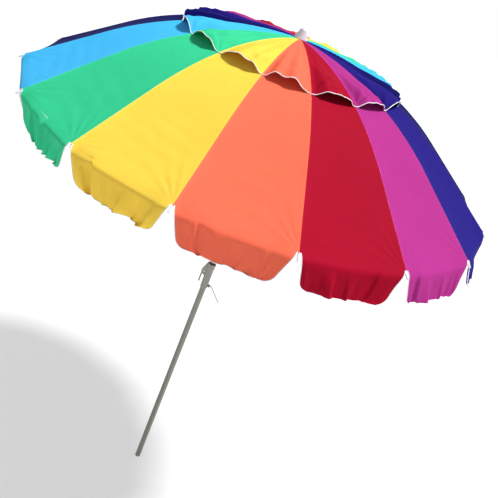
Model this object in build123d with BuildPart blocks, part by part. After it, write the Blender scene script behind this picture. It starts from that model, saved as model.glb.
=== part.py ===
from build123d import *
import math
import os

# A beach umbrella, upright, pole along +Z, its origin at the bottom of the pole, in millimetres.
# Sixteen ribs carry sixteen panels in eight colours, each with a hanging flap, under a vented cap.

os.makedirs("parts", exist_ok=True)

# ---------------------------------------------------------------- driving dimensions
canopy_top = 2720.0          # top of the vent cap on the pole's axis
canopy_radius = 1100.0       # from the axis to the fabric's edge at a rib
crown_radius = 1430.0        # radius of the curved middle of the canopy
crown_reach = 792.0          # from the axis to where the curve becomes a straight slope
rib_count = 16
first_rib_angle = 13.0       # degrees from +X
vent_radius = 508.0          # edge of the vent cap at a rib
main_opening = 400.0         # the hole that the vent cap covers
fabric = 1.0
vent_gap = 1.0               # air between the two canopies where they meet at a rib
valance_height = 130.0
valance_slant = 19.0         # degrees, each side of a flap leans in
valance_side_gap = 6.0
valance_corner = 25.0

upper_pole_radius = 14.0
upper_pole_wall = 1.2
lower_pole_wall = 1.5
tube_gap = 0.5               # between the two telescoping tubes
lower_pole_radius = upper_pole_radius + tube_gap + lower_pole_wall
collar_top = 1505.0          # height of the clamp collar on the lower pole
middle_pole_length = 508.0
end_plug_depth = 28.0

rib_rod_radius = 2.5
rib_joint_reach = 460.0      # from the axis to where a stretcher meets its rib
rib_joint_drop = 9.0         # from the rib's middle to that joint's rivet
joint_bracket_half = 3.3
tip_cap_radius = 4.5
tip_cap_length = 27.0
stretcher_radius = 2.0
stretcher_side = 6.0         # a stretcher runs this far beside its rib
runner_drop = 300.0          # from the stretcher's top rivet down to its runner pivot
fold_angle = 62.0            # a rib's swing from open to closed

pivot_circle = upper_pole_radius + 10.0    # radius of the wire rings in the hub and the runner
wire_radius = 1.0
wire_gap = 0.35
eye_radius = 3.7
eye_thickness = 3.4
slot_width = 4.4
crown_disc_radius = pivot_circle + 7.0

neck_radius = upper_pole_radius + 1.0     # the hub's neck, through the canopy's middle

running_gap = 0.05
free_gap = 0.4
seam_gap = 0.1

# ---------------------------------------------------------------- canopy geometry
half_panel = math.radians(180.0 / rib_count)
panel_step = 360.0 / rib_count
squeeze = math.cos(half_panel)
slope = math.asin(crown_reach / crown_radius)
apex_z = canopy_top - fabric - vent_gap
crown_z = apex_z - crown_radius


def rib_angle(number):
    return first_rib_angle + panel_step * number


def surface_z(reach, depth=0.0):
    """Height of the canopy above a rib, this deep under its outer face."""
    arc = crown_radius - depth
    if reach <= arc * math.sin(slope):
        return crown_z + math.sqrt(arc * arc - reach * reach)
    return crown_z + arc * math.cos(slope) - math.tan(slope) * (reach - arc * math.sin(slope))


def polar(distance, angle):
    """A point in a radial plane, from the crown's centre, the angle counted from the vertical."""
    return (distance * math.sin(angle), crown_z + distance * math.cos(angle))


# ---------------------------------------------------------------- ribs, stretchers and the fold
rib_depth = fabric + 0.7 + joint_bracket_half
rib_arc = crown_radius - rib_depth
hinge_z = surface_z(pivot_circle, rib_depth)
slope_length = (canopy_radius - crown_reach) / math.cos(slope)

joint_turn = math.asin(rib_joint_reach / rib_arc)
rivet_r, rivet_z = polar(rib_arc - rib_joint_drop, joint_turn)
runner_z = rivet_z - runner_drop
stretcher_length = math.hypot(rivet_r - pivot_circle, runner_drop)
stretcher_rise = math.atan2(runner_drop, rivet_r - pivot_circle)

fold = math.radians(fold_angle)
reach, fall = rivet_r - pivot_circle, rivet_z - hinge_z
closed_reach = reach * math.cos(fold) + fall * math.sin(fold)
closed_fall = -reach * math.sin(fold) + fall * math.cos(fold)
closed_drop = math.sqrt(stretcher_length ** 2 - closed_reach ** 2)
runner_travel = runner_z - (hinge_z + closed_fall - closed_drop)
stretcher_swing = math.degrees(math.atan2(closed_drop, closed_reach) - stretcher_rise)
print(f"hinge_z {hinge_z:.4f} runner_z {runner_z:.4f} travel {runner_travel:.4f}")
print(f"swing {stretcher_swing:.5f} rivet {rivet_r:.3f} {rivet_z:.3f}")

# ---------------------------------------------------------------- canopy panels
colours = ["sky", "green", "yellow", "orange", "red", "magenta", "violet", "navy"]
edge = canopy_radius * squeeze
rim_z = surface_z(canopy_radius)
hem_z = rim_z - valance_height


def wedge(low, high):
    """Keeps what lies between two neighbouring ribs, less a hair's width."""
    far = 1.2 * canopy_radius
    with BuildSketch(Plane.XY.offset(low)) as between:
        with BuildLine():
            start = (seam_gap / math.sin(half_panel), 0)
            ray = (far, far * math.tan(half_panel) - seam_gap)
            Polyline(start, ray, (ray[0], -ray[1]), start)
        make_face()
    extrude(between.sketch, amount=high - low, mode=Mode.INTERSECT)


def crown_arc(arc, near, far):
    """The curved part of a panel's middle section, between two distances from the axis."""
    first, last = (math.degrees(math.acos(reach / arc)) for reach in (far, near))
    EllipticalCenterArc(
        (0, crown_z), arc * squeeze, arc, first, arc_size=last - first
    )


with BuildPart() as main_gore:
    with BuildSketch(Plane.XZ):
        with BuildLine():
            for depth in (0, fabric):
                arc = crown_radius - depth
                knee = arc * math.sin(slope)
                crown_arc(arc, main_opening, knee)
                Line(
                    (knee * squeeze, surface_z(knee, depth)),
                    (edge, surface_z(canopy_radius, depth)),
                )
            for reach in (main_opening, canopy_radius):
                at = reach * squeeze
                Line((at, surface_z(reach)), (at, surface_z(reach, fabric)))
        make_face()
    extrude(amount=canopy_radius * math.sin(half_panel) + 1, both=True)
    wedge(rim_z - 50, canopy_top)

with BuildPart() as valance:
    with BuildSketch(Plane.XZ):
        with BuildLine():
            back = edge - fabric
            Polyline(
                (edge, surface_z(canopy_radius, fabric)), (edge, hem_z), (back, hem_z),
                (back, surface_z(back / squeeze, fabric)),
                (edge, surface_z(canopy_radius, fabric)),
            )
        make_face()
    extrude(amount=canopy_radius * math.sin(half_panel), both=True)
    with BuildSketch(Plane.YZ.offset(back - 1)) as outline:
        half_top = canopy_radius * math.sin(half_panel) - valance_side_gap
        top = surface_z(back / squeeze)
        half_bottom = half_top - (top - hem_z) * math.tan(math.radians(valance_slant))
        with BuildLine():
            Polyline(
                (-half_top, top), (-half_bottom, hem_z), (half_bottom, hem_z),
                (half_top, top), (-half_top, top),
            )
        make_face()
        fillet(outline.vertices().group_by(Axis.Z)[0], radius=valance_corner)
    extrude(amount=fabric + 2, mode=Mode.INTERSECT)

with BuildPart() as vent_gore:
    inner = (neck_radius + 1.5) / squeeze
    arcs = (crown_radius + vent_gap + fabric, crown_radius + vent_gap)
    with BuildSketch(Plane.XZ):
        with BuildLine():
            for arc in arcs:
                crown_arc(arc, inner, vent_radius)
            for reach in (inner, vent_radius):
                outside, inside = (crown_z + math.sqrt(arc ** 2 - reach ** 2) for arc in arcs)
                Line((reach * squeeze, outside), (reach * squeeze, inside))
        make_face()
    extrude(amount=vent_radius * math.sin(half_panel) + 1, both=True)
    wedge(rim_z, canopy_top + 1)

# Each colour comes round twice, on opposite sides of the pole.
for number, colour in enumerate(colours):
    middle = rib_angle(8 + number) + panel_step / 2
    with BuildPart() as panels:
        for turn_by in (middle, middle + 180):
            for piece in (main_gore, valance, vent_gore):
                add(piece.part, rotation=(0, 0, turn_by))
    panels.part.label = f"canopy_{colour}"
    export_step(panels.part, f"parts/canopy_{colour}.step")

# ---------------------------------------------------------------- ribs
root_bar = 14.0              # length of the flattened root
root_height = 5.0
rod_overlap = 2.0            # the rod starts this far inside its flattened root
root_sink = 0.2
bracket_length = 14.0
bracket_boss = 5.0
bracket_neck = 8.0
rod_start = math.asin((pivot_circle + root_bar - rod_overlap) / rib_arc)
cap_start = slope_length + 4.0
knee_point = polar(rib_arc, slope)


def on_slope(length):
    """A point on a rib's straight end, this far past its curved part."""
    return (knee_point[0] + length * math.cos(slope), knee_point[1] - length * math.sin(slope))


with BuildPart() as rib_form:
    # the rod follows the canopy: a long arc and a straight end
    with BuildLine(Plane.XZ) as rib_line:
        start, end = polar(rib_arc, rod_start), on_slope(cap_start + tip_cap_length / 2)
        CenterArc((0, crown_z), rib_arc, 90 - math.degrees(slope), math.degrees(slope - rod_start))
        Line(knee_point, end)
    tangent = Vector(math.cos(rod_start), 0, -math.sin(rod_start))
    with BuildSketch(Plane(origin=(start[0], 0, start[1]), z_dir=tangent)):
        Circle(rib_rod_radius)
    sweep(path=rib_line.wires()[0])
    # its root is pressed flat, with an eye for the hub's wire
    with BuildSketch(Plane.XZ):
        with Locations((pivot_circle, hinge_z)):
            Circle(eye_radius)
        with Locations((pivot_circle + root_bar / 2, hinge_z - root_sink)):
            Rectangle(root_bar, root_height)
    extrude(amount=eye_thickness / 2, both=True)
    with BuildSketch(Plane.XZ):
        with Locations((pivot_circle, hinge_z)):
            Circle(wire_radius + wire_gap)
    extrude(amount=eye_thickness, both=True, mode=Mode.SUBTRACT)

bracket_plane = Plane(
    origin=(rivet_r, 0, rivet_z), x_dir=(math.cos(joint_turn), 0, -math.sin(joint_turn)),
    z_dir=(0, -1, 0),
)
with BuildPart() as bracket_form:
    # a clip round the rib that carries the stretcher's rivet below it
    with BuildSketch(bracket_plane):
        Circle(bracket_boss)
        with Locations((0, rib_joint_drop / 2)):
            Rectangle(bracket_neck, rib_joint_drop)
        with Locations((0, rib_joint_drop)):
            Rectangle(bracket_length, 2 * joint_bracket_half)
    extrude(amount=joint_bracket_half, both=True)
    with BuildLine(Plane.XZ) as clip_line:
        half = 1.5 * bracket_length / rib_arc
        CenterArc(
            (0, crown_z), rib_arc, 90 - math.degrees(joint_turn + half), math.degrees(2 * half)
        )
    clip_start = polar(rib_arc, joint_turn + half)
    along = Vector(math.cos(joint_turn + half), 0, -math.sin(joint_turn + half))
    with BuildSketch(Plane(origin=(clip_start[0], 0, clip_start[1]), z_dir=along)):
        Circle(rib_rod_radius)
    sweep(path=clip_line.wires()[0], mode=Mode.SUBTRACT)

cap_base = on_slope(cap_start)
cap_plane = Plane(
    origin=(cap_base[0], 0, cap_base[1]), z_dir=(math.cos(slope), 0, -math.sin(slope))
)
with BuildPart() as cap_form:
    # a plastic cap on the rib's end, bored to half its length
    with BuildSketch(cap_plane):
        Circle(tip_cap_radius)
    extrude(amount=tip_cap_length)
    tip = cap_form.faces().sort_by(Axis.X)[-1]
    fillet(tip.edges(), radius=tip_cap_radius - 0.6)
    with BuildSketch(cap_plane):
        Circle(rib_rod_radius)
    extrude(amount=tip_cap_length / 2, mode=Mode.SUBTRACT)

# The rod, its clip and its cap are three solids of one node.
for number in range(rib_count):
    pieces = [piece.part.solid() for piece in (rib_form, bracket_form, cap_form)]
    rib = Compound([piece.rotate(Axis.Z, rib_angle(number)) for piece in pieces])
    rib.label = f"rib_{number + 1:02d}"
    export_step(rib, f"parts/rib_{number + 1:02d}.step")

# ---------------------------------------------------------------- stretchers
lean = 60.0                  # a stretcher steps sideways within this length of its root
eye_side = joint_bracket_half + 0.6
rivet_eye = 2.6
rise = Vector(math.cos(stretcher_rise), 0, math.sin(stretcher_rise))
root = Vector(pivot_circle, 0, runner_z)
aside = Vector(0, stretcher_side, 0)
rod_from = 10.0
rod_bend = 12.0
rivet_boss = 5.0
rivet_tail = 14.0
rivet_height = 5.0
rivet_head_radius = 3.4
rivet_head = 1.6
stretcher_plane = Plane(origin=root, x_dir=(rise.X, 0, rise.Z), z_dir=(0, -1, 0))
with BuildPart() as stretcher_form:
    with BuildLine() as stretcher_line:
        FilletPolyline(
            root + rise * rod_from, root + rise * (rod_from + 6),
            root + rise * lean + aside, root + rise * (stretcher_length - 4) + aside,
            radius=rod_bend,
        )
    with BuildSketch(Plane(origin=root + rise * rod_from, z_dir=rise)):
        Circle(stretcher_radius)
    sweep(path=stretcher_line.wires()[0])
    with BuildSketch(stretcher_plane):
        Circle(eye_radius)
        with Locations(((rod_from + rod_overlap) / 2, 0)):
            Rectangle(rod_from + rod_overlap, root_height)
    extrude(amount=eye_thickness / 2, both=True)
    with BuildSketch(stretcher_plane):
        Circle(wire_radius + wire_gap)
    extrude(amount=eye_thickness, both=True, mode=Mode.SUBTRACT)
    # a flat eye and a rivet head beside the rib's bracket
    with BuildSketch(stretcher_plane.offset(-eye_side)):
        with Locations((stretcher_length, 0)):
            Circle(rivet_boss)
        with Locations((stretcher_length - rivet_tail / 2, 0)):
            Rectangle(rivet_tail, rivet_height)
    extrude(amount=-rivet_eye)
    with BuildSketch(stretcher_plane.offset(-eye_side - rivet_eye)):
        with Locations((stretcher_length, 0)):
            Circle(rivet_head_radius)
    extrude(amount=-rivet_head)

for number in range(rib_count):
    with BuildPart() as stretcher:
        add(stretcher_form.part, rotation=(0, 0, rib_angle(number)))
    stretcher.part.label = f"stretcher_{number + 1:02d}"
    export_step(stretcher.part, f"parts/stretcher_{number + 1:02d}.step")

# ---------------------------------------------------------------- hub and finial
hub_top = canopy_top - fabric - 0.6
hub_disc = 13.0
hub_roof = 1.6               # left above the slots
seat = 2.0                   # the neck stands this far into the finial
hub_sleeve_radius = upper_pole_radius + 4.5
hub_sleeve = 30.0
stud_radius = 5.0
stud_length = 30.0
finial_height = 46.0
finial_base_radius = neck_radius + 15.0
finial_top_radius = 14.5
finial_dome = 10.0           # rounding of its top edge
pole_top = hub_top - 4.0


def slots(low, high, inner_radius):
    """Radial slots for the rib or stretcher roots, cut through a pivot disc."""
    with PolarLocations(0, rib_count, start_angle=rib_angle(0)):
        with Locations(((inner_radius + crown_disc_radius + 2) / 2, 0, (low + high) / 2)):
            Box(
                crown_disc_radius + 2 - inner_radius, slot_width, high - low, mode=Mode.SUBTRACT
            )


def wire_ring(height):
    with BuildPart() as ring:
        with BuildSketch(Plane.XZ):
            with Locations((pivot_circle, height)):
                Circle(wire_radius)
        revolve(axis=Axis.Z)
    return ring.part


with BuildPart() as hub_wire:
    add(wire_ring(hinge_z))
hub_wire.part.label = "hub_wire"
export_step(hub_wire.part, "parts/hub_wire.step")

with BuildPart() as hub:
    with BuildSketch(Plane.XZ):
        with BuildLine():
            low = hub_top - hub_disc
            Polyline(
                (0, canopy_top + seat + stud_length), (stud_radius, canopy_top + seat + stud_length),
                (stud_radius, canopy_top + seat), (neck_radius, canopy_top + seat),
                (neck_radius, hub_top), (crown_disc_radius, hub_top),
                (crown_disc_radius, low), (hub_sleeve_radius, low),
                (hub_sleeve_radius, low - hub_sleeve), (upper_pole_radius, low - hub_sleeve),
                (upper_pole_radius, pole_top), (0, pole_top),
                (0, canopy_top + seat + stud_length),
            )
        make_face()
    revolve(axis=Axis.Z)
    slots(low - 1, hub_top - hub_roof, hub_sleeve_radius)
    add(hub_wire.part, mode=Mode.SUBTRACT)
    rim_edges = hub.edges().filter_by(GeomType.CIRCLE).group_by(Axis.Z)[0]
    chamfer(rim_edges.sort_by(SortBy.RADIUS)[-1:], length=1.0)
hub.part.label = "hub"
export_step(hub.part, "parts/hub.step")

with BuildPart() as finial:
    # a slightly waisted cone with a rounded top, bored for the hub's neck and stud
    with BuildSketch(Plane.XZ):
        with BuildLine():
            base, top = canopy_top, canopy_top + finial_height
            foot, shoulder = (finial_base_radius, base + 4), (finial_top_radius, top)
            waist = ((foot[0] + shoulder[0]) / 2 - 1.2, (foot[1] + shoulder[1]) / 2)
            Polyline((0, base), (finial_base_radius, base), foot)
            ThreePointArc(foot, waist, shoulder)
            Polyline(shoulder, (0, top), (0, base))
        make_face()
    revolve(axis=Axis.Z)
    fillet(finial.faces().sort_by(Axis.Z)[-1].edges(), radius=finial_dome)
    fillet(finial.edges().group_by(Axis.Z)[0], radius=1.5)
    with BuildSketch(Plane.XY.offset(base)):
        Circle(stud_radius)
    extrude(amount=seat + 0.2 + stud_length, mode=Mode.SUBTRACT)
    with BuildSketch(Plane.XY.offset(base)):
        Circle(neck_radius + 0.2)
    extrude(amount=seat + 0.2, mode=Mode.SUBTRACT)
finial.part.label = "finial"
export_step(finial.part, "parts/finial.step")

# ---------------------------------------------------------------- runner
runner_bore = upper_pole_radius + free_gap
runner_disc_half = 6.5
slot_floor = 4.6             # the slots reach this far below the wire ring
runner_sleeve_radius = upper_pole_radius + 6.5
runner_sleeve = 70.0
runner_flange = 6.0
runner_flange_radius = upper_pole_radius + 12.0
catch_angle = rib_angle(11) + panel_step / 2
catch_out = upper_pole_radius + 4.0
catch_half = 3.0
catch_low = runner_z - 46.0
catch_high = runner_z - 34.0
key_depth = catch_out + 0.5
window_margin = 1.5
catch_leg = 26.0             # the strip runs this far above and below its wedge
catch_step = 0.5
catch_nose = 4.5
catch_inset = 3.0            # the strip lies this far inside the pole's outer face
catch_strip = 1.0

with BuildPart() as runner_wire:
    add(wire_ring(runner_z))
runner_wire.part.label = "runner_wire"
export_step(runner_wire.part, "parts/runner_wire.step")

with BuildPart() as runner:
    with BuildSketch(Plane.XZ):
        with BuildLine():
            flange_z = runner_z - runner_sleeve
            Polyline(
                (runner_bore, runner_z + runner_disc_half),
                (crown_disc_radius, runner_z + runner_disc_half),
                (crown_disc_radius, runner_z - runner_disc_half),
                (runner_sleeve_radius, runner_z - runner_disc_half - 8),
                (runner_sleeve_radius, flange_z + 4), (runner_flange_radius, flange_z),
                (runner_flange_radius, flange_z - runner_flange),
                (runner_bore, flange_z - runner_flange),
                (runner_bore, runner_z + runner_disc_half),
            )
        make_face()
    revolve(axis=Axis.Z)
    slots(runner_z - slot_floor, runner_z + runner_disc_half + 1, runner_sleeve_radius - 1)
    add(runner_wire.part, mode=Mode.SUBTRACT)
    # a keyway in the bore and a window let the catch's nose show and the runner slide past it
    key = Plane.XY.rotated((0, 0, catch_angle))
    with BuildSketch(key.offset(catch_low - window_margin)):
        with Locations((key_depth / 2, 0)):
            Rectangle(key_depth, 2 * (catch_half + free_gap))
    extrude(amount=runner_z + runner_disc_half + 1 - catch_low + window_margin, mode=Mode.SUBTRACT)
    with BuildSketch(key.offset(catch_low - window_margin)):
        with Locations(((key_depth + runner_sleeve_radius + 2) / 2, 0)):
            Rectangle(runner_sleeve_radius + 2 - key_depth + 1, 2 * (catch_half + free_gap))
    extrude(amount=catch_high - catch_low + 2 * window_margin, mode=Mode.SUBTRACT)
runner.part.label = "runner"
export_step(runner.part, "parts/runner.step")

with BuildPart() as runner_catch:
    # a spring strip inside the pole, bent out into a wedge that pokes through the wall
    with BuildSketch(Plane.XZ) as strip:
        with BuildLine():
            front = upper_pole_radius - catch_inset
            Polyline(
                (catch_out, catch_low + catch_step), (catch_out, catch_low + catch_nose),
                (front, catch_high), (front, catch_high + catch_leg),
                (front - catch_strip, catch_high + catch_leg),
                (front - catch_strip, catch_low - catch_leg), (front, catch_low - catch_leg),
                (front, catch_low + catch_step), (catch_out, catch_low + catch_step),
            )
        make_face()
    extrude(amount=catch_half, both=True)
catch_part = runner_catch.part.rotate(Axis.Z, catch_angle)
catch_part.label = "runner_catch"
export_step(catch_part, "parts/runner_catch.step")

# ---------------------------------------------------------------- tilt joint
pivot_rise = 75.0            # from the collar's top to the tilt pin
pivot_z = collar_top + pivot_rise
socket_radius = upper_pole_radius + 1.5
socket_low = collar_top + 0.5
socket_shoulder = pivot_z - 18.0
middle_pole_top = socket_shoulder - 14.0
tongue_half = 6.0
tongue_reach = upper_pole_radius - 1.0
cheek = 6.0
cheek_gap = free_gap
yoke_low = pivot_z + 20.0
yoke_high = pivot_z + 60.0
upper_pole_low = yoke_low + 6.0
pin_radius = 4.0
pin_head_radius = 7.0
pin_head = 3.0
cheek_out = tongue_half + cheek_gap + cheek
button_radius = 4.0
button_z = (middle_pole_top + socket_shoulder) / 2
button_out = 4.0
button_length = 12.0
button_bore_end = -2.0
spring_coil = 2.6
spring_wire = 0.45

with BuildPart() as tilt_socket:
    with BuildSketch(Plane.XY.offset(socket_low)):
        Circle(socket_radius)
    extrude(amount=socket_shoulder - socket_low)
    chamfer(tilt_socket.edges().group_by(Axis.Z)[-1], length=1.0)
    with BuildSketch(Plane.XZ):
        with Locations((0, pivot_z)):
            Circle(tongue_reach)
        with Locations((0, (pivot_z + socket_shoulder) / 2 - 2)):
            Rectangle(2 * tongue_reach, pivot_z - socket_shoulder + 4)
    extrude(amount=tongue_half, both=True)
    with BuildSketch(Plane.XY.offset(socket_low)):
        Circle(upper_pole_radius)
    extrude(amount=middle_pole_top - socket_low, mode=Mode.SUBTRACT)
    with BuildSketch(Plane.XZ):
        with Locations((0, pivot_z)):
            Circle(pin_radius)
    extrude(amount=tongue_half + 1, both=True, mode=Mode.SUBTRACT)
    with BuildSketch(Plane.YZ.offset(button_bore_end)):
        with Locations((0, button_z)):
            Circle(button_radius + running_gap)
    extrude(amount=-20, mode=Mode.SUBTRACT)
tilt_socket.part.label = "tilt_socket"
export_step(tilt_socket.part, "parts/tilt_socket.step")

with BuildPart() as tilt_fork:
    with BuildSketch(Plane.XY.offset(yoke_low)):
        Circle(socket_radius)
    extrude(amount=yoke_high - yoke_low)
    chamfer(tilt_fork.edges().group_by(Axis.Z)[-1], length=1.0)
    with BuildSketch(Plane.XZ):
        with Locations((0, pivot_z)):
            Circle(tongue_reach)
        with Locations((0, (pivot_z + yoke_low) / 2 + 2)):
            Rectangle(2 * tongue_reach, yoke_low - pivot_z + 4)
    extrude(amount=cheek_out, both=True)
    with Locations((0, 0, pivot_z)):
        Box(60, 2 * (tongue_half + cheek_gap), 2 * (yoke_low - pivot_z), mode=Mode.SUBTRACT)
    with BuildSketch(Plane.XZ):
        with Locations((0, pivot_z)):
            Circle(pin_radius + running_gap)
    extrude(amount=cheek_out + 1, both=True, mode=Mode.SUBTRACT)
    with BuildSketch(Plane.XY.offset(upper_pole_low)):
        Circle(upper_pole_radius)
    extrude(amount=yoke_high - upper_pole_low + 1, mode=Mode.SUBTRACT)
tilt_fork.part.label = "tilt_fork"
export_step(tilt_fork.part, "parts/tilt_fork.step")

with BuildPart() as tilt_pin:
    with BuildSketch(Plane.XZ):
        with Locations((0, pivot_z)):
            Circle(pin_radius)
    extrude(amount=cheek_out + free_gap + 0.5, both=True)
    for side in (1, -1):
        with BuildSketch(Plane.XZ.offset(side * (cheek_out + free_gap))):
            with Locations((0, pivot_z)):
                Circle(pin_head_radius)
        extrude(amount=side * pin_head)
    ends = tilt_pin.faces().filter_by(Axis.Y).sort_by(Axis.Y)
    chamfer(ends[0].edges() + ends[-1].edges(), length=1.0)
tilt_pin.part.label = "tilt_pin"
export_step(tilt_pin.part, "parts/tilt_pin.step")

with BuildPart() as tilt_button:
    with BuildSketch(Plane.YZ.offset(-socket_radius - button_out)):
        with Locations((0, button_z)):
            Circle(button_radius)
    extrude(amount=button_length)
    fillet(tilt_button.faces().sort_by(Axis.X)[0].edges(), radius=1.2)
tilt_button.part.label = "tilt_button"
export_step(tilt_button.part, "parts/tilt_button.step")

with BuildPart() as tilt_button_spring:
    spring_from = -socket_radius - button_out + button_length
    spring_room = button_bore_end - spring_from - 2 * spring_wire
    with BuildLine() as coil:
        Helix(
            pitch=spring_room / 4, height=spring_room, radius=spring_coil,
            center=(spring_from + spring_wire, 0, button_z), direction=(1, 0, 0),
        )
    with BuildSketch(Plane(origin=coil.line @ 0, z_dir=coil.line % 0)):
        Circle(spring_wire)
    sweep(path=coil.line, is_frenet=True)
tilt_button_spring.part.label = "tilt_button_spring"
export_step(tilt_button_spring.part, "parts/tilt_button_spring.step")

# ---------------------------------------------------------------- poles
with BuildPart() as upper_pole:
    with BuildSketch(Plane.XY.offset(upper_pole_low)):
        Circle(upper_pole_radius)
        Circle(upper_pole_radius - upper_pole_wall, mode=Mode.SUBTRACT)
    extrude(amount=pole_top - upper_pole_low)
    with BuildSketch(Plane.XY.rotated((0, 0, catch_angle)).offset(catch_low - 1)):
        with Locations((upper_pole_radius, 0)):
            Rectangle(8, 2 * (catch_half + free_gap))
    extrude(amount=catch_high - catch_low + 2, mode=Mode.SUBTRACT)
upper_pole.part.label = "upper_pole"
export_step(upper_pole.part, "parts/upper_pole.step")

middle_pole_low = middle_pole_top - middle_pole_length
with BuildPart() as middle_pole:
    with BuildSketch(Plane.XY.offset(middle_pole_low)):
        Circle(upper_pole_radius)
        Circle(upper_pole_radius - upper_pole_wall, mode=Mode.SUBTRACT)
    extrude(amount=middle_pole_length)
middle_pole.part.label = "middle_pole"
export_step(middle_pole.part, "parts/middle_pole.step")

bushing_length = 14.0
bushing_plug = 26.0
bushing_wall = 3.0
lower_bore = lower_pole_radius - lower_pole_wall
with BuildPart() as pole_bushing:
    # a guide that slides in the lower tube, plugged into the middle tube's end
    with BuildSketch(Plane.XY.offset(middle_pole_low)):
        Circle(upper_pole_radius - upper_pole_wall)
    extrude(amount=bushing_plug)
    with BuildSketch(Plane.XY.offset(middle_pole_low)):
        Circle(lower_bore - running_gap)
    extrude(amount=-bushing_length)
    with BuildSketch(Plane.XY.offset(middle_pole_low - bushing_length)):
        Circle(upper_pole_radius - upper_pole_wall - bushing_wall)
    extrude(amount=bushing_length + bushing_plug, mode=Mode.SUBTRACT)
pole_bushing.part.label = "pole_bushing"
export_step(pole_bushing.part, "parts/pole_bushing.step")

# ---------------------------------------------------------------- lower pole, collar and its clamp
collar_height = 153.0
collar_low = collar_top - collar_height
seat_radius = lower_pole_radius - 0.2    # the lower tube is a little thinner inside the collar
seat_low = collar_low - 0.5
collar_radius = lower_pole_radius + 3.5
collar_flare = lower_pole_radius + 5.5
flare_height = 28.0
flare_end = 40.0
lip = 2.5
slit = 3.0
slit_low = collar_top - 80.0
ear_inner = lower_pole_radius - 4.0
ear_widest = (52.0, 65.0)    # the ears' outer edge, from here to here below the collar's top
ear_low = (74.0, 84.0)
ear_round = 4.0
lower_pole_top = collar_top - lip
lever_pin_x = -(lower_pole_radius + 10.0)
lever_pin_z = collar_top - 55.0
lever_pin_radius = 2.5
ear_gap_half = 5.4
ear = 4.6
ear_reach = lower_pole_radius + 26.0
ear_under = lower_pole_radius + 14.0
lever_out = lower_pole_radius + 24.5
lever_thickness = 8.0
lever_low = collar_top - 127.0
lever_half = 5.0
paddle_half = 8.0
screw_z = collar_top - 138.0
screw_radius = 3.25
boss_radius = 8.5
boss_end = lower_pole_radius + 15.0
handle_reach = 108.0         # from the pole's axis to the handle's end
handle_drop = 82.0
handle_bend = 12.0
paddle_height = 46.0
paddle_rise = 24.0
cam_radius = 7.4
pin_rivet_radius = 4.2
pin_rivet_height = 1.6

with BuildPart() as lower_pole:
    with BuildSketch(Plane.XY):
        Circle(lower_pole_radius)
    extrude(amount=seat_low)
    with BuildSketch(Plane.XY.offset(seat_low)):
        Circle(seat_radius)
    extrude(amount=lower_pole_top - seat_low)
    with BuildSketch(Plane.XY):
        Circle(lower_bore)
    extrude(amount=lower_pole_top, mode=Mode.SUBTRACT)
    with BuildSketch(Plane.XY.offset(slit_low)):
        with Locations((-lower_pole_radius, 0)):
            Rectangle(8, slit)
    extrude(amount=lower_pole_top - slit_low + 1, mode=Mode.SUBTRACT)
    with BuildSketch(Plane.YZ):
        with Locations((0, screw_z)):
            Circle(screw_radius + free_gap)
    extrude(amount=lower_pole_radius + 2, mode=Mode.SUBTRACT)
lower_pole.part.label = "lower_pole"
export_step(lower_pole.part, "parts/lower_pole.step")

with BuildPart() as end_plug:
    with BuildSketch(Plane.XY):
        Circle(lower_bore)
    extrude(amount=end_plug_depth)
    with BuildSketch(Plane.XY.offset(3)):
        Circle(lower_bore - 3)
    extrude(amount=end_plug_depth, mode=Mode.SUBTRACT)
end_plug.part.label = "end_plug"
export_step(end_plug.part, "parts/end_plug.step")

with BuildPart() as clamp_collar:
    with BuildSketch(Plane.XZ):
        with BuildLine():
            Polyline(
                (0, collar_top), (collar_flare - 1, collar_top), (collar_flare, collar_top - 2),
                (collar_flare, collar_top - flare_height), (collar_radius, collar_top - flare_end),
                (collar_radius, collar_low + 2), (collar_radius - 1, collar_low),
                (0, collar_low), (0, collar_top),
            )
        make_face()
    revolve(axis=Axis.Z)
    # two ears flare out from the collar and hold the lever's pin
    with BuildSketch(Plane.XZ):
        with BuildLine():
            FilletPolyline(
                (-ear_inner, collar_top), (-collar_flare, collar_top),
                (-ear_reach, collar_top - ear_widest[0]), (-ear_reach, collar_top - ear_widest[1]),
                (-ear_under, collar_top - ear_low[0]), (-ear_inner, collar_top - ear_low[1]),
                radius=ear_round,
            )
            Line((-ear_inner, collar_top - ear_low[1]), (-ear_inner, collar_top))
        make_face()
    extrude(amount=ear_gap_half + ear, both=True)
    pocket_x = lever_pin_x + 7.8
    with BuildSketch(Plane.XY.offset(slit_low)):
        with Locations(((pocket_x - 60) / 2, 0)):
            Rectangle(60 + pocket_x, 2 * ear_gap_half)
    extrude(amount=collar_top + 1 - slit_low, mode=Mode.SUBTRACT)
    with BuildSketch(Plane.YZ):
        with Locations((0, screw_z)):
            Circle(boss_radius)
    extrude(amount=boss_end)
    with BuildSketch(Plane.XY.offset(collar_low - 1)):
        Circle(seat_radius)
    extrude(amount=lower_pole_top - collar_low + 1, mode=Mode.SUBTRACT)
    with BuildSketch(Plane.XY.offset(lower_pole_top - 1)):
        Circle(upper_pole_radius + free_gap)
    extrude(amount=lip + 2, mode=Mode.SUBTRACT)
    with BuildSketch(Plane.XY.offset(slit_low)):
        with Locations((-25, 0)):
            Rectangle(30, slit)
    extrude(amount=collar_top + 1 - slit_low, mode=Mode.SUBTRACT)
    with BuildSketch(Plane.YZ):
        with Locations((0, screw_z)):
            Circle(screw_radius + running_gap)
    extrude(amount=boss_end + 1, mode=Mode.SUBTRACT)
    with BuildSketch(Plane.XZ):
        with Locations((lever_pin_x, lever_pin_z)):
            Circle(lever_pin_radius)
    extrude(amount=30, both=True, mode=Mode.SUBTRACT)
clamp_collar.part.label = "clamp_collar"
export_step(clamp_collar.part, "parts/clamp_collar.step")

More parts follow.
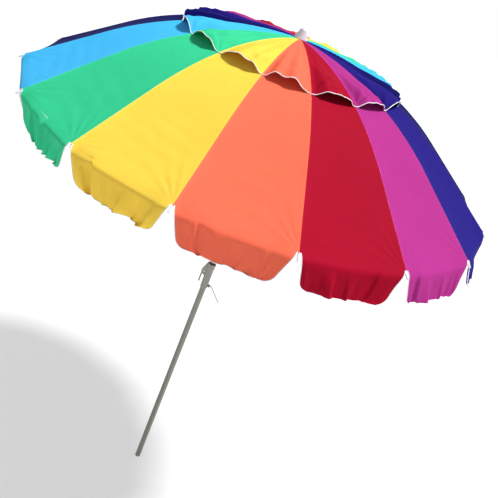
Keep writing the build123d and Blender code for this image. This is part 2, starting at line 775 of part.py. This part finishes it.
with BuildPart() as lever_pin:
    with BuildSketch(Plane.XZ):
        with Locations((lever_pin_x, lever_pin_z)):
            Circle(lever_pin_radius)
    extrude(amount=ear_gap_half + ear + 0.2, both=True)
    for side in (1, -1):
        with BuildSketch(Plane.XZ.offset(side * (ear_gap_half + ear))):
            with Locations((lever_pin_x, lever_pin_z)):
                Circle(pin_rivet_radius)
        extrude(amount=side * pin_rivet_height)
lever_pin.part.label = "lever_pin"
export_step(lever_pin.part, "parts/lever_pin.step")

with BuildPart() as clamp_lever:
    # a cam head on the pin, an arm that hangs beside the pole, and a wider paddle for a thumb
    with BuildSketch(Plane.XZ):
        with BuildLine():
            Polyline(
                (lever_pin_x, lever_pin_z + cam_radius), (lever_pin_x - 8, lever_pin_z + 6.4),
                (-lever_out + 3, lever_pin_z + 3), (-lever_out, lever_pin_z - 4),
                (-lever_out, lever_low + 3), (-lever_out + 3, lever_low),
                (-lever_out + lever_thickness - 1, lever_low),
                (-lever_out + lever_thickness, lever_low + 2),
                (-lever_out + lever_thickness, lever_pin_z - 10),
                (lever_pin_x, lever_pin_z - cam_radius), (lever_pin_x, lever_pin_z + cam_radius),
            )
        make_face()
        with Locations((lever_pin_x, lever_pin_z)):
            Circle(cam_radius)
    extrude(amount=lever_half, both=True)
    with BuildSketch(Plane.YZ.offset(-lever_out)):
        with Locations((0, lever_low + paddle_rise)):
            RectangleRounded(2 * paddle_half, paddle_height, 3)
    extrude(amount=lever_thickness - 2)
    with BuildSketch(Plane.XZ):
        with Locations((lever_pin_x, lever_pin_z)):
            Circle(lever_pin_radius + running_gap)
    extrude(amount=lever_half + 1, both=True, mode=Mode.SUBTRACT)
clamp_lever.part.label = "clamp_lever"
export_step(clamp_lever.part, "parts/clamp_lever.step")

with BuildPart() as locking_rod:
    # a screw through the collar, bent over into a long handle that hangs down and outwards
    with BuildLine(Plane.XZ) as rod_line:
        FilletPolyline(
            (lower_bore, screw_z), (boss_end + 9, screw_z),
            (handle_reach, screw_z - handle_drop), radius=handle_bend
        )
    with BuildSketch(Plane.YZ.offset(lower_bore)):
        with Locations((0, screw_z)):
            Circle(screw_radius)
    sweep(path=rod_line.wires()[0])
    fillet(locking_rod.faces().sort_by(Axis.Z)[0].edges(), radius=1.5)
locking_rod.part.label = "locking_rod"
export_step(locking_rod.part, "parts/locking_rod.step")
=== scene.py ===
import bpy
import math
import numpy as np
from mathutils import Matrix, Vector


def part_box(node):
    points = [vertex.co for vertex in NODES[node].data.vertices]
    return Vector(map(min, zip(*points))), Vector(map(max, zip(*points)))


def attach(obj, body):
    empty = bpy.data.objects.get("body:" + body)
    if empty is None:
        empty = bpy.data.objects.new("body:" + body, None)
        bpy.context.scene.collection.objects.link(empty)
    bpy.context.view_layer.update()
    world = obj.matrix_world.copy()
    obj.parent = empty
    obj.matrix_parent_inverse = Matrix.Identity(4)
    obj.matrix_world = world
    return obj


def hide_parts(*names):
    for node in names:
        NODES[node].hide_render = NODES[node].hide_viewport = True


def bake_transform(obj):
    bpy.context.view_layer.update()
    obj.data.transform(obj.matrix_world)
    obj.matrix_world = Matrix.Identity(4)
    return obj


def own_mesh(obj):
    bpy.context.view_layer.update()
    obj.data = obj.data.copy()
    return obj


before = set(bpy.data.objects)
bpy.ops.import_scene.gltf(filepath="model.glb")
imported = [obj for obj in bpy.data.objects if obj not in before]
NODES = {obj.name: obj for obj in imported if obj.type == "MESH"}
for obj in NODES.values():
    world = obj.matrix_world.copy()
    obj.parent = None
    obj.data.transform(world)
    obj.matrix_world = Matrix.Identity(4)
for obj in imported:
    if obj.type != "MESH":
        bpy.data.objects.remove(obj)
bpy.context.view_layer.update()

# ---------------------------------------------------------------- sizes, in metres
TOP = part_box("hub_wire")[1][2] + 0.0062          # the vent cap's top on the pole's axis
RIM = 1.100                                      # axis to the fabric's edge at a rib
CROWN = 1.430                                    # radius of the canopy's curved middle
KNEE = 0.792                                     # where the curve becomes a straight slope
VENT_LIFT = 0.002                                # the cap lies this far over the main cloth
APEX = TOP - VENT_LIFT
MAIN_BANDS = (0.400, 0.560, 0.740, 0.920, RIM)   # the main cloth is cut at these distances
VENT_BANDS = (0.0168, 0.070, 0.160, 0.320, 0.508)
VENT_EDGE = VENT_BANDS[-1]
RIBS = 16
STEP = 2 * math.pi / RIBS
FIRST_RIB = math.radians(13.0)
SLOPE = math.asin(KNEE / CROWN)
VALANCE = 0.130
FLAP_GAP = 0.006
FLAP_SLANT = math.tan(math.radians(19.0))
FLAP_CORNER = 0.028
RIM_ROLL = 0.0145                                # the cloth rolls outwards over the rim by this
RIM_BLEND = 0.030                                # the shading is shared across the rim this far
WIND = 0.036                                     # how far the flaps lean to +X
PIPE = 0.0018
COLOURS = ["sky", "green", "yellow", "orange", "red", "magenta", "violet", "navy"]


# ---------------------------------------------------------------- camera, floor and light
def camera():
    """High in front of the canopy, and rolled, because the umbrella leans to the right."""
    data = bpy.data.cameras.new("camera")
    data.lens, data.sensor_width = 45.35, 36.0
    data.clip_end = 200.0
    eye = bpy.data.objects.new("camera", data)
    bpy.context.collection.objects.link(eye)
    yaw, pitch, roll = (math.radians(a) for a in (2.854, 27.40, 22.74))
    look = Vector((
        math.sin(yaw) * math.cos(pitch), math.cos(yaw) * math.cos(pitch), -math.sin(pitch),
    ))
    side = look.cross(Vector((0, 0, 1))).normalized()
    up = side.cross(look)
    right = math.cos(roll) * side + math.sin(roll) * up
    above = -math.sin(roll) * side + math.cos(roll) * up
    turn = Matrix((right, above, -look)).transposed().to_4x4()
    eye.matrix_world = Matrix.Translation((0.005, -2.869, 3.153)) @ turn
    bpy.context.scene.camera = eye


def sun(name, azimuth, elevation, strength, spread):
    data = bpy.data.lights.new(name, "SUN")
    data.energy, data.angle = strength, math.radians(spread)
    lamp = bpy.data.objects.new(name, data)
    a, e = math.radians(azimuth), math.radians(elevation)
    towards = Vector((math.cos(e) * math.cos(a), math.cos(e) * math.sin(a), math.sin(e)))
    lamp.rotation_euler = towards.to_track_quat("Z", "Y").to_euler()
    bpy.context.collection.objects.link(lamp)


def studio():
    bpy.context.scene.view_settings.view_transform = "Standard"
    world = bpy.data.worlds.new("studio")
    bpy.context.scene.world = world
    world.use_nodes = True
    # white round the horizon, dimmer overhead, so that the key light models the folds
    tree = world.node_tree
    coords = tree.nodes.new("ShaderNodeTexCoord")
    split = tree.nodes.new("ShaderNodeSeparateXYZ")
    ramp = tree.nodes.new("ShaderNodeValToRGB")
    low, high = ramp.color_ramp.elements
    low.position, low.color = 0.06, (1.0, 1.0, 1.0, 1.0)
    high.position, high.color = 0.30, (0.30, 0.31, 0.33, 1.0)
    tree.links.new(coords.outputs["Generated"], split.inputs["Vector"])
    tree.links.new(split.outputs["Z"], ramp.inputs["Fac"])
    tree.links.new(ramp.outputs["Color"], tree.nodes["Background"].inputs["Color"])
    sun("key", 15, 66, 4.4, 9.0)
    reach = 40.0
    mesh = bpy.data.meshes.new("floor")
    corners = [(-reach, -reach, 0), (reach, -reach, 0), (reach, reach, 0), (-reach, reach, 0)]
    mesh.from_pydata(corners, [], [(0, 1, 2, 3)])
    floor = bpy.data.objects.new("floor", mesh)
    bpy.context.collection.objects.link(floor)
    material = bpy.data.materials.new("floor")
    material.use_nodes = True
    shader = material.node_tree.nodes["Principled BSDF"]
    shader.inputs["Base Color"].default_value = (0.40, 0.40, 0.40, 1.0)
    shader.inputs["Emission Color"].default_value = (1.0, 1.0, 1.0, 1.0)
    shader.inputs["Emission Strength"].default_value = 0.52
    shader.inputs["Roughness"].default_value = 0.9
    mesh.materials.append(material)


# ---------------------------------------------------------------- materials
class Nodes:
    """A short way to build a material's node tree."""

    def __init__(self, name):
        self.material = bpy.data.materials.new(name)
        self.material.use_nodes = True
        self.tree = self.material.node_tree
        self.shader = self.tree.nodes["Principled BSDF"]

    def add(self, kind, values=(), **settings):
        node = self.tree.nodes.new("ShaderNode" + kind)
        for key, value in settings.items():
            setattr(node, key, value)
        for key, value in dict(values).items():
            node.inputs[key].default_value = value
        return node

    def link(self, source, output, target, socket):
        self.tree.links.new(source.outputs[output], target.inputs[socket])

    def noise(self, coords, output, scale, detail=3.0, stretch=(1, 1, 1)):
        mapping = self.add("Mapping", {"Scale": stretch})
        self.link(coords, output, mapping, "Vector")
        noise = self.add("TexNoise", {"Scale": scale, "Detail": detail})
        self.link(mapping, "Vector", noise, "Vector")
        return noise

    def math(self, operation, *values):
        """A maths node on numbers, or on another node's outputs given as (node, output)."""
        node = self.add("Math", operation=operation)
        for socket, value in enumerate(values):
            if isinstance(value, tuple):
                self.link(*value, node, socket)
            else:
                node.inputs[socket].default_value = value
        return node

    def ramp(self, source, output, low, high, dark, light):
        ramp = self.add("ValToRGB")
        self.link(source, output, ramp, "Fac")
        first, last = ramp.color_ramp.elements
        first.position, last.position = low, high
        first.color, last.color = (*dark, 1.0), (*light, 1.0)
        return ramp

    def bump(self, source, output, strength, distance):
        """Raises the shader's surface by another node's output."""
        bump = self.add("Bump", {"Strength": strength, "Distance": distance})
        self.link(source, output, bump, "Height")
        self.link(bump, "Normal", self.shader, "Normal")


def scaled(colour, factor):
    return tuple(min(1.0, c * factor) for c in colour)


def cloth(name, colour):
    """Woven polyester: crossed threads, faint slubs, and a stitched double seam beside each rib."""
    n = Nodes(name)
    coords = n.add("UVMap", uv_map="cloth")
    warp = n.noise(coords, "UV", 900.0, 2.0, (1.0, 0.04, 1.0))
    weft = n.noise(coords, "UV", 900.0, 2.0, (0.04, 1.0, 1.0))
    threads = n.math("ADD", (warp, "Fac"), (weft, "Fac"))
    tone = n.ramp(threads, "Value", 0.6, 1.4, scaled(colour, 0.88), scaled(colour, 1.10))
    cloudy = n.noise(coords, "UV", 5.0, 3.0)
    patch = n.ramp(cloudy, "Fac", 0.3, 0.7, (0.93, 0.93, 0.93), (1.0, 1.0, 1.0))
    mix = n.add("Mix", {"Factor": 1.0}, data_type="RGBA", blend_type="MULTIPLY")
    n.tree.links.new(tone.outputs["Color"], mix.inputs["A"])
    n.tree.links.new(patch.outputs["Color"], mix.inputs["B"])
    # the folded seam beside each rib or edge is paler, with a row of stitches along it
    split = n.add("SeparateXYZ")
    n.link(coords, "UV", split, "Vector")
    fold = n.ramp(split, "X", 0.0022, 0.0034, (0.5,) * 3, (0.0,) * 3)
    pale = n.add("Mix", {"B": (*scaled(colour, 1.35), 1.0)}, data_type="RGBA")
    n.link(fold, "Color", pale, "Factor")
    n.tree.links.new(mix.outputs["Result"], pale.inputs["A"])
    row = n.math("COMPARE", (split, "X"), 0.0062, 0.0005)
    pitch = n.math("FRACT", (n.math("MULTIPLY", (split, "Y"), 260.0), "Value"))
    stitch = n.math("MULTIPLY", (row, "Value"), (n.math("LESS_THAN", (pitch, "Value"), 0.62), "Value"))
    sewn = n.add("Mix", {"B": (*scaled(colour, 1.6), 1.0)}, data_type="RGBA")
    n.link(stitch, "Value", sewn, "Factor")
    n.tree.links.new(pale.outputs["Result"], sewn.inputs["A"])
    n.tree.links.new(sewn.outputs["Result"], n.shader.inputs["Base Color"])
    n.bump(threads, "Value", 0.25, 0.0004)
    n.shader.inputs["Roughness"].default_value = 0.75
    n.shader.inputs["Specular IOR Level"].default_value = 0.06
    return n.material


def plastic(name, colour, roughness=0.42):
    """Moulded plastic: a fine grain, and a slight unevenness in tone."""
    n = Nodes(name)
    coords = n.add("TexCoord")
    cloudy = n.noise(coords, "Object", 40.0, 3.0)
    tone = n.ramp(cloudy, "Fac", 0.3, 0.7, scaled(colour, 0.9), scaled(colour, 1.06))
    n.link(tone, "Color", n.shader, "Base Color")
    grain = n.noise(coords, "Object", 1500.0, 2.0)
    n.bump(grain, "Fac", 0.15, 0.0002)
    n.shader.inputs["Roughness"].default_value = roughness
    return n.material


def metal(name, colour, roughness=0.35, metallic=1.0, streak=0.12):
    """Drawn metal tube or rod: streaks along its length, and dull patches."""
    n = Nodes(name)
    coords = n.add("TexCoord")
    lines = n.noise(coords, "Object", 700.0, 3.0, (1.0, 1.0, 0.02))
    tone = n.ramp(lines, "Fac", 0.3, 0.7, scaled(colour, 1 - streak), scaled(colour, 1 + streak))
    n.link(tone, "Color", n.shader, "Base Color")
    dull = n.noise(coords, "Object", 9.0, 4.0)
    rough = n.ramp(dull, "Fac", 0.3, 0.8, (roughness * 0.8,) * 3, (roughness * 1.3,) * 3)
    n.link(rough, "Color", n.shader, "Roughness")
    n.bump(lines, "Fac", 0.1, 0.0002)
    n.shader.inputs["Metallic"].default_value = metallic
    return n.material


TINTS = {
    "sky": (0.050, 0.440, 0.800), "green": (0.034, 0.520, 0.245), "yellow": (0.830, 0.560, 0.065),
    "orange": (0.820, 0.140, 0.076), "red": (0.330, 0.0015, 0.018),
    "magenta": (0.360, 0.026, 0.205), "violet": (0.012, 0.006, 0.160),
    "navy": (0.001, 0.001, 0.085),
}


# ---------------------------------------------------------------- the cloth's shape
def rib_angle(number):
    return FIRST_RIB + STEP * number


def surface(reach, lift=0.0):
    """Height of the cloth over a rib at these distances from the axis."""
    arc = CROWN + lift
    curved = APEX - CROWN + np.sqrt(np.maximum(arc ** 2 - np.minimum(reach, KNEE) ** 2, 0))
    return curved - np.tan(SLOPE) * np.maximum(reach - KNEE, 0)


def tilt_of(reach):
    return np.arcsin(np.minimum(reach, KNEE) / CROWN)


def smooth(x):
    x = np.clip(x, 0, 1)
    return x * x * (3 - 2 * x)


def place(panel, u, v, z):
    """From a panel's own axes (out along its middle, across, up) to the object's frame."""
    a = rib_angle(panel) + STEP / 2
    return np.stack([u * math.cos(a) - v * math.sin(a), u * math.sin(a) + v * math.cos(a), z], -1)


def main_panel(panel, across=48, along=110):
    """Points of one panel, from the vent to the rim, and their place on the flat cloth."""
    rng = np.random.default_rng(100 + panel)
    reach = np.linspace(MAIN_BANDS[0], RIM, along)[:, None]
    s = np.linspace(-1, 1, across + 1)[None, :]
    half = reach * math.sin(STEP / 2)
    near_rib = (1 - np.abs(s)) * half
    sag = -0.010 * (1 - s ** 2) * (reach / RIM) ** 1.5
    # small puckers run out of each corner, where the cloth is tied to its rib
    pucker = 0
    for side in (-1, 1):
        dx, dy = (RIM - reach), (1 - side * s) * half
        distance = np.hypot(dx, dy) + 1e-6
        angle = np.arctan2(dy, dx)
        wave = np.sin(angle * rng.uniform(13, 17) + rng.uniform(0, 6))
        pucker = pucker + wave * 0.0022 * np.exp(-distance / 0.085) * smooth(distance / 0.02)
    length = RIM - reach
    rows = np.sin(2 * math.pi * length / rng.uniform(0.05, 0.08) + 2.0 * s + rng.uniform(0, 6))
    rows = rows * 0.0006 * np.exp(-((length - 0.18) / 0.14) ** 2) * (1 - s ** 2)
    seam = 0.0009 * np.exp(-(near_rib / 0.004) ** 2)
    hem = 0.0010 * np.exp(-((RIM - reach) / 0.010) ** 2)
    lift = (sag + pucker + rows) * smooth(near_rib / 0.02) + seam + hem
    tilt = tilt_of(reach)
    u = reach * math.cos(STEP / 2) + lift * np.sin(tilt)
    v = s * half
    z = surface(reach) + lift * np.cos(tilt)
    return reach, s, place(panel, u, v + 0 * z, z), (near_rib, 0 * s + reach)


def build(name, points, normals, flat):
    """A mesh object from a grid of points, with the cloth's own coordinates as its UV map."""
    rows, columns = points.shape[:2]
    index = np.arange(rows * columns).reshape(rows, columns)
    faces = np.stack([index[:-1, :-1], index[1:, :-1], index[1:, 1:], index[:-1, 1:]], -1)
    faces = faces.reshape(-1, 4)
    mesh = bpy.data.meshes.new(name)
    mesh.from_pydata(points.reshape(-1, 3).tolist(), [], faces.tolist())
    layer = mesh.uv_layers.new(name="cloth")
    table = np.stack([np.broadcast_to(f, (rows, columns)).reshape(-1) for f in flat], -1)
    layer.data.foreach_set("uv", table[faces.reshape(-1)].astype(np.float32).ravel())
    mesh.polygons.foreach_set("use_smooth", [True] * len(faces))
    mesh.normals_split_custom_set_from_vertices(normals.reshape(-1, 3).tolist())
    piece = bpy.data.objects.new(name, mesh)
    bpy.context.collection.objects.link(piece)
    return piece


def unit(vectors):
    return vectors / np.maximum(np.linalg.norm(vectors, axis=-1, keepdims=True), 1e-12)


def normals_of(points):
    return unit(np.cross(np.gradient(points, axis=0), np.gradient(points, axis=1)))


# ---------------------------------------------------------------- how the cloth folds
def radial(number):
    a = rib_angle(number)
    return np.array([math.cos(a), math.sin(a), 0.0]), np.array([-math.sin(a), math.cos(a), 0.0])


def gather(piece, rib, side, near, far):
    """Hangs a half panel on the rib it is sewn to, so that it turns with that rib as the rib folds."""
    name = f"{rib % RIBS + 1:02d}"
    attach(piece, f"rib_body_{name}")
    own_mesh(piece)


def finish_cloth(piece, panel):
    colour = COLOURS[panel % len(COLOURS)]
    piece.data.materials.append(CLOTH[colour])
    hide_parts(f"canopy_{colour}")


# ---------------------------------------------------------------- vent cap, flaps and piping
def cut_in_two(panel, points, normals, flat, name, bands, reach):
    """Makes both halves of a panel, in bands, each half for the rib it is sewn to."""
    half = points.shape[1] // 2
    shape = points.shape[:2]
    made = []
    for side, columns in ((1, slice(0, half + 1)), (-1, slice(half, None))):
        rib = panel if side == 1 else panel + 1
        for band in range(len(bands) - 1):
            near, far = bands[band:band + 2]
            first = int(np.argmin(np.abs(reach - near)))
            last = int(np.argmin(np.abs(reach - far))) + 1
            cut = (slice(first, last), columns)
            piece = build(
                f"{name}_{panel + 1:02d}{'a' if side == 1 else 'b'}_{band + 1}", points[cut],
                normals[cut], [np.broadcast_to(f, shape)[cut] for f in flat],
            )
            finish_cloth(piece, panel)
            made.append((piece, rib, side, near, far))
    return made


def tube(name, path, radius=PIPE, sides=8):
    """A round cord of cloth along these points, closed at both ends."""
    along = np.gradient(path, axis=0)
    along /= np.linalg.norm(along, axis=1, keepdims=True)
    normal = np.cross(along[0], [0, 0, 1.0])
    if np.linalg.norm(normal) < 0.1:
        normal = np.cross(along[0], [1.0, 0, 0])
    rings = []
    for point, ahead in zip(path, along):
        normal = normal - ahead * (normal @ ahead)
        normal /= np.linalg.norm(normal)
        other = np.cross(ahead, normal)
        turns = np.arange(sides) * 2 * math.pi / sides
        rings.append(point + radius * (
            np.cos(turns)[:, None] * normal + np.sin(turns)[:, None] * other
        ))
    count = len(path)
    index = np.arange(count * sides).reshape(count, sides)
    faces = np.stack([
        index[:-1], np.roll(index[:-1], -1, 1), np.roll(index[1:], -1, 1), index[1:],
    ], -1).reshape(-1, 4).tolist()
    faces += [index[0][::-1].tolist(), index[-1].tolist()]
    mesh = bpy.data.meshes.new(name)
    mesh.from_pydata(np.concatenate(rings).tolist(), [], faces)
    mesh.polygons.foreach_set("use_smooth", [len(f) == 4 for f in faces])
    piece = bpy.data.objects.new(name, mesh)
    bpy.context.collection.objects.link(piece)
    mesh.materials.append(PAINT["piping"])
    return piece


def piping(name, path, rib, side, near, far):
    gather(tube(name, path), rib, side, near, far)


def vent_panel(panel, across=48):
    """The vent cap over one panel: loose at its edge, where it lifts and ripples between ribs."""
    rng = np.random.default_rng(300 + panel)
    parts = [np.linspace(a, b, n, endpoint=False) for a, b, n in zip(
        VENT_BANDS[:-1], VENT_BANDS[1:], (10, 12, 20, 28))]
    reach = np.concatenate(parts + [[VENT_BANDS[-1]]])[:, None]
    s = np.linspace(-1, 1, across + 1)[None, :]
    half = reach * math.sin(STEP / 2)
    near_rib = (1 - np.abs(s)) * half
    loose = smooth((reach - 0.24) / (VENT_EDGE - 0.24))
    # the loose edge stands up in one broad fold, nearer to one rib, and drops steeply to it
    top, flank = rng.uniform(-0.35, 0.35), rng.uniform(0.30, 0.45)
    span = np.where(s < top, (s + 1) / (top + 1), (1 - s) / (1 - top))
    lift = rng.uniform(0.026, 0.034) * loose * smooth(span / (1 - flank))
    ripple = sum(
        rng.uniform(0.0015, 0.0035) * np.sin(math.pi * n * s + rng.uniform(0, 6.3))
        for n in (1.7, 3.1)
    ) * loose * (1 - s ** 4)
    pucker = 0
    for side in (-1, 1):
        dx, dy = (VENT_EDGE - reach), (1 - side * s) * half
        distance = np.hypot(dx, dy) + 1e-6
        wave = np.sin(np.arctan2(dy, dx) * rng.uniform(9, 12) + rng.uniform(0, 6.3))
        pucker = pucker + wave * 0.0038 * np.exp(-distance / 0.10) * smooth(distance / 0.03)
    radial_folds = 0.0016 * np.sin(7.0 * s + rng.uniform(0, 6.3)) * smooth((reach - 0.05) / 0.15)
    rise = (lift + ripple + pucker + radial_folds) * smooth(near_rib / 0.03)
    rise = np.maximum(rise, -0.0004) + 0.0008 * np.exp(-(near_rib / 0.004) ** 2)
    tilt = tilt_of(reach)
    u = reach * math.cos(STEP / 2) + rise * np.sin(tilt)
    points = place(panel, u, s * half + 0 * rise, surface(reach, VENT_LIFT) + rise * np.cos(tilt))
    return reach[:, 0], points, (near_rib, 0 * s + reach)


def vent_cap():
    for panel in range(RIBS):
        reach, points, flat = vent_panel(panel)
        for piece, rib, side, near, far in cut_in_two(
            panel, points, normals_of(points), flat, "vent", VENT_BANDS, reach
        ):
            if near == VENT_BANDS[0]:
                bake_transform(piece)
            else:
                gather(piece, rib, side, near, far)
        half = points.shape[1] // 2
        edge = points[-1]
        piping(f"vent_piping_{panel + 1:02d}a", edge[:half + 1], panel, 1, *VENT_BANDS[-2:])
        piping(f"vent_piping_{panel + 1:02d}b", edge[half:], panel + 1, -1, *VENT_BANDS[-2:])


def flap(panel, rim, across=72, down=26):
    """One hanging flap: slanted sides, round lower corners, and uneven upright pleats."""
    rng = np.random.default_rng(500 + panel)
    h = np.concatenate([np.linspace(0, 0.7, down - 10), 0.7 + 0.3 * np.sin(
        np.linspace(0, math.pi / 2, 11)[1:])])[:, None]
    s = np.linspace(-1, 1, across + 1)[None, :]
    fall = h * VALANCE
    width = RIM * math.sin(STEP / 2) - FLAP_GAP - fall * FLAP_SLANT
    into = np.clip((fall - VALANCE + FLAP_CORNER) / FLAP_CORNER, 0, 1)
    width = width - FLAP_CORNER * (1 - np.sqrt(1 - into ** 2))
    v = s * width
    a = rib_angle(panel) + STEP / 2
    leeward = max(0.0, -math.cos(a))
    folds = 0
    for centre in np.linspace(-0.85, 0.85, 7) + rng.uniform(-0.09, 0.09, 7):
        # a pleat is steep on one side and slack on the other, and starts somewhere below the rim
        steep, slack = rng.uniform(0.022, 0.040), rng.uniform(0.10, 0.20)
        depth = rng.choice([-1, 1]) * rng.uniform(0.005, 0.011) * (1 + 1.3 * leeward)
        away = s - centre - rng.uniform(-0.12, 0.12) * h
        away = away * rng.choice([-1, 1])
        ridge = np.exp(-(away / np.where(away < 0, steep, slack)) ** 2)
        folds = folds + depth * ridge * smooth((h - rng.uniform(-0.1, 0.25)) / rng.uniform(0.4, 0.8))
    wide = rng.uniform(0.005, 0.010) * np.sin(rng.uniform(1.5, 3.0) * s + rng.uniform(0, 6.3)) * h
    corner = rng.uniform(-0.018, 0.018) * smooth((np.abs(s) - 0.6) / 0.4) * np.sign(s) * h ** 2
    wind = WIND * math.cos(a)
    outwards = folds + wide + corner + wind * h ** 1.2 + RIM_ROLL * (1 - np.exp(-fall / 0.010))
    top_v = np.linspace(-RIM * math.sin(STEP / 2), RIM * math.sin(STEP / 2), rim.shape[0])
    out_axis = radial(panel + 0.5)[0]
    top_z = np.interp(v, top_v, rim[:, 2])
    top_u = np.interp(v, top_v, rim @ out_axis)
    rise = 0.10 * abs(wind) * h ** 2
    points = place(panel, top_u + outwards, v, top_z - fall + rise)
    return points, (width - np.abs(v), fall + 0 * s + RIM), v[0]


def canopy():
    """Sixteen panels from under the vent cap to the rim, each with its flap."""
    for panel in range(RIBS):
        reach, s, points, flat = main_panel(panel)
        hanging, hanging_flat, top_v = flap(panel, points[-1])
        normals, low_normals = normals_of(points), normals_of(hanging)
        rim_v = s[0] * RIM * math.sin(STEP / 2)
        at_flap = np.stack([np.interp(top_v, rim_v, normals[-1][:, k]) for k in range(3)], -1)
        shared = unit(at_flap + low_normals[0])
        at_rim = np.stack([np.interp(rim_v, top_v, shared[:, k]) for k in range(3)], -1)
        mixed = smooth((RIM - reach) / RIM_BLEND)[:, :, None]
        normals = unit(normals * mixed + at_rim * (1 - mixed))
        fall = np.linspace(0, 1, len(hanging))[:, None, None] * VALANCE
        mixed = smooth(fall / RIM_BLEND)
        low_normals = unit(low_normals * mixed + shared * (1 - mixed))
        for piece, rib, side, near, far in cut_in_two(
            panel, points, normals, flat, "panel", MAIN_BANDS, reach[:, 0]
        ):
            gather(piece, rib, side, near, far)
        rows = np.arange(len(hanging))
        for piece, rib, side, _, _ in cut_in_two(
            panel, hanging, low_normals, hanging_flat, "flap", (0, rows[-1]), rows
        ):
            gather(piece, rib, side, *MAIN_BANDS[-2:])
        half = hanging.shape[1] // 2
        left = np.concatenate([hanging[:-1, 0], hanging[-1, :half + 1]])
        right = np.concatenate([hanging[-1, half:-1], hanging[::-1, -1]])
        piping(f"flap_piping_{panel + 1:02d}a", left, panel, 1, *MAIN_BANDS[-2:])
        piping(f"flap_piping_{panel + 1:02d}b", right, panel + 1, -1, *MAIN_BANDS[-2:])


# ---------------------------------------------------------------- the object
CLOTH = {name: cloth(f"cloth_{name}", tint) for name, tint in TINTS.items()}
PAINT = {
    "piping": plastic("white_piping", (0.86, 0.85, 0.88), 0.55),
    "white": plastic("white_plastic", (0.75, 0.75, 0.78)),
    "black": plastic("black_plastic", (0.015, 0.015, 0.017)),
    "grey": plastic("grey_plastic", (0.30, 0.30, 0.27)),
    "finial": plastic("finial_plastic", (0.70, 0.66, 0.74), 0.35),
    "steel": metal("bright_steel", (0.55, 0.55, 0.56)),
    "pole_low": metal("lower_pole", (0.24, 0.24, 0.21), 0.38, 0.6),
    "pole_high": metal("upper_pole", (0.38, 0.38, 0.34), 0.35, 0.6),
}
DRESS = {
    "white": ["hub", "runner", "pole_bushing", "tilt_button"],
    "black": ["tilt_socket", "tilt_fork", "end_plug"],
    "grey": ["clamp_collar", "clamp_lever"],
    "finial": ["finial"],
    "steel": [
        "hub_wire", "runner_wire", "runner_catch", "tilt_pin", "tilt_button_spring", "lever_pin",
        "locking_rod",
    ],
    "pole_low": ["lower_pole"],
    "pole_high": ["middle_pole", "upper_pole"],
}
for number in range(1, RIBS + 1):
    DRESS["white"].append(f"rib_{number:02d}")
    DRESS["steel"].append(f"stretcher_{number:02d}")

camera()
studio()
canopy()
vent_cap()
for paint, names in DRESS.items():
    for name in names:
        mesh = NODES[name].data
        mesh.materials.clear()
        mesh.materials.append(PAINT[paint])
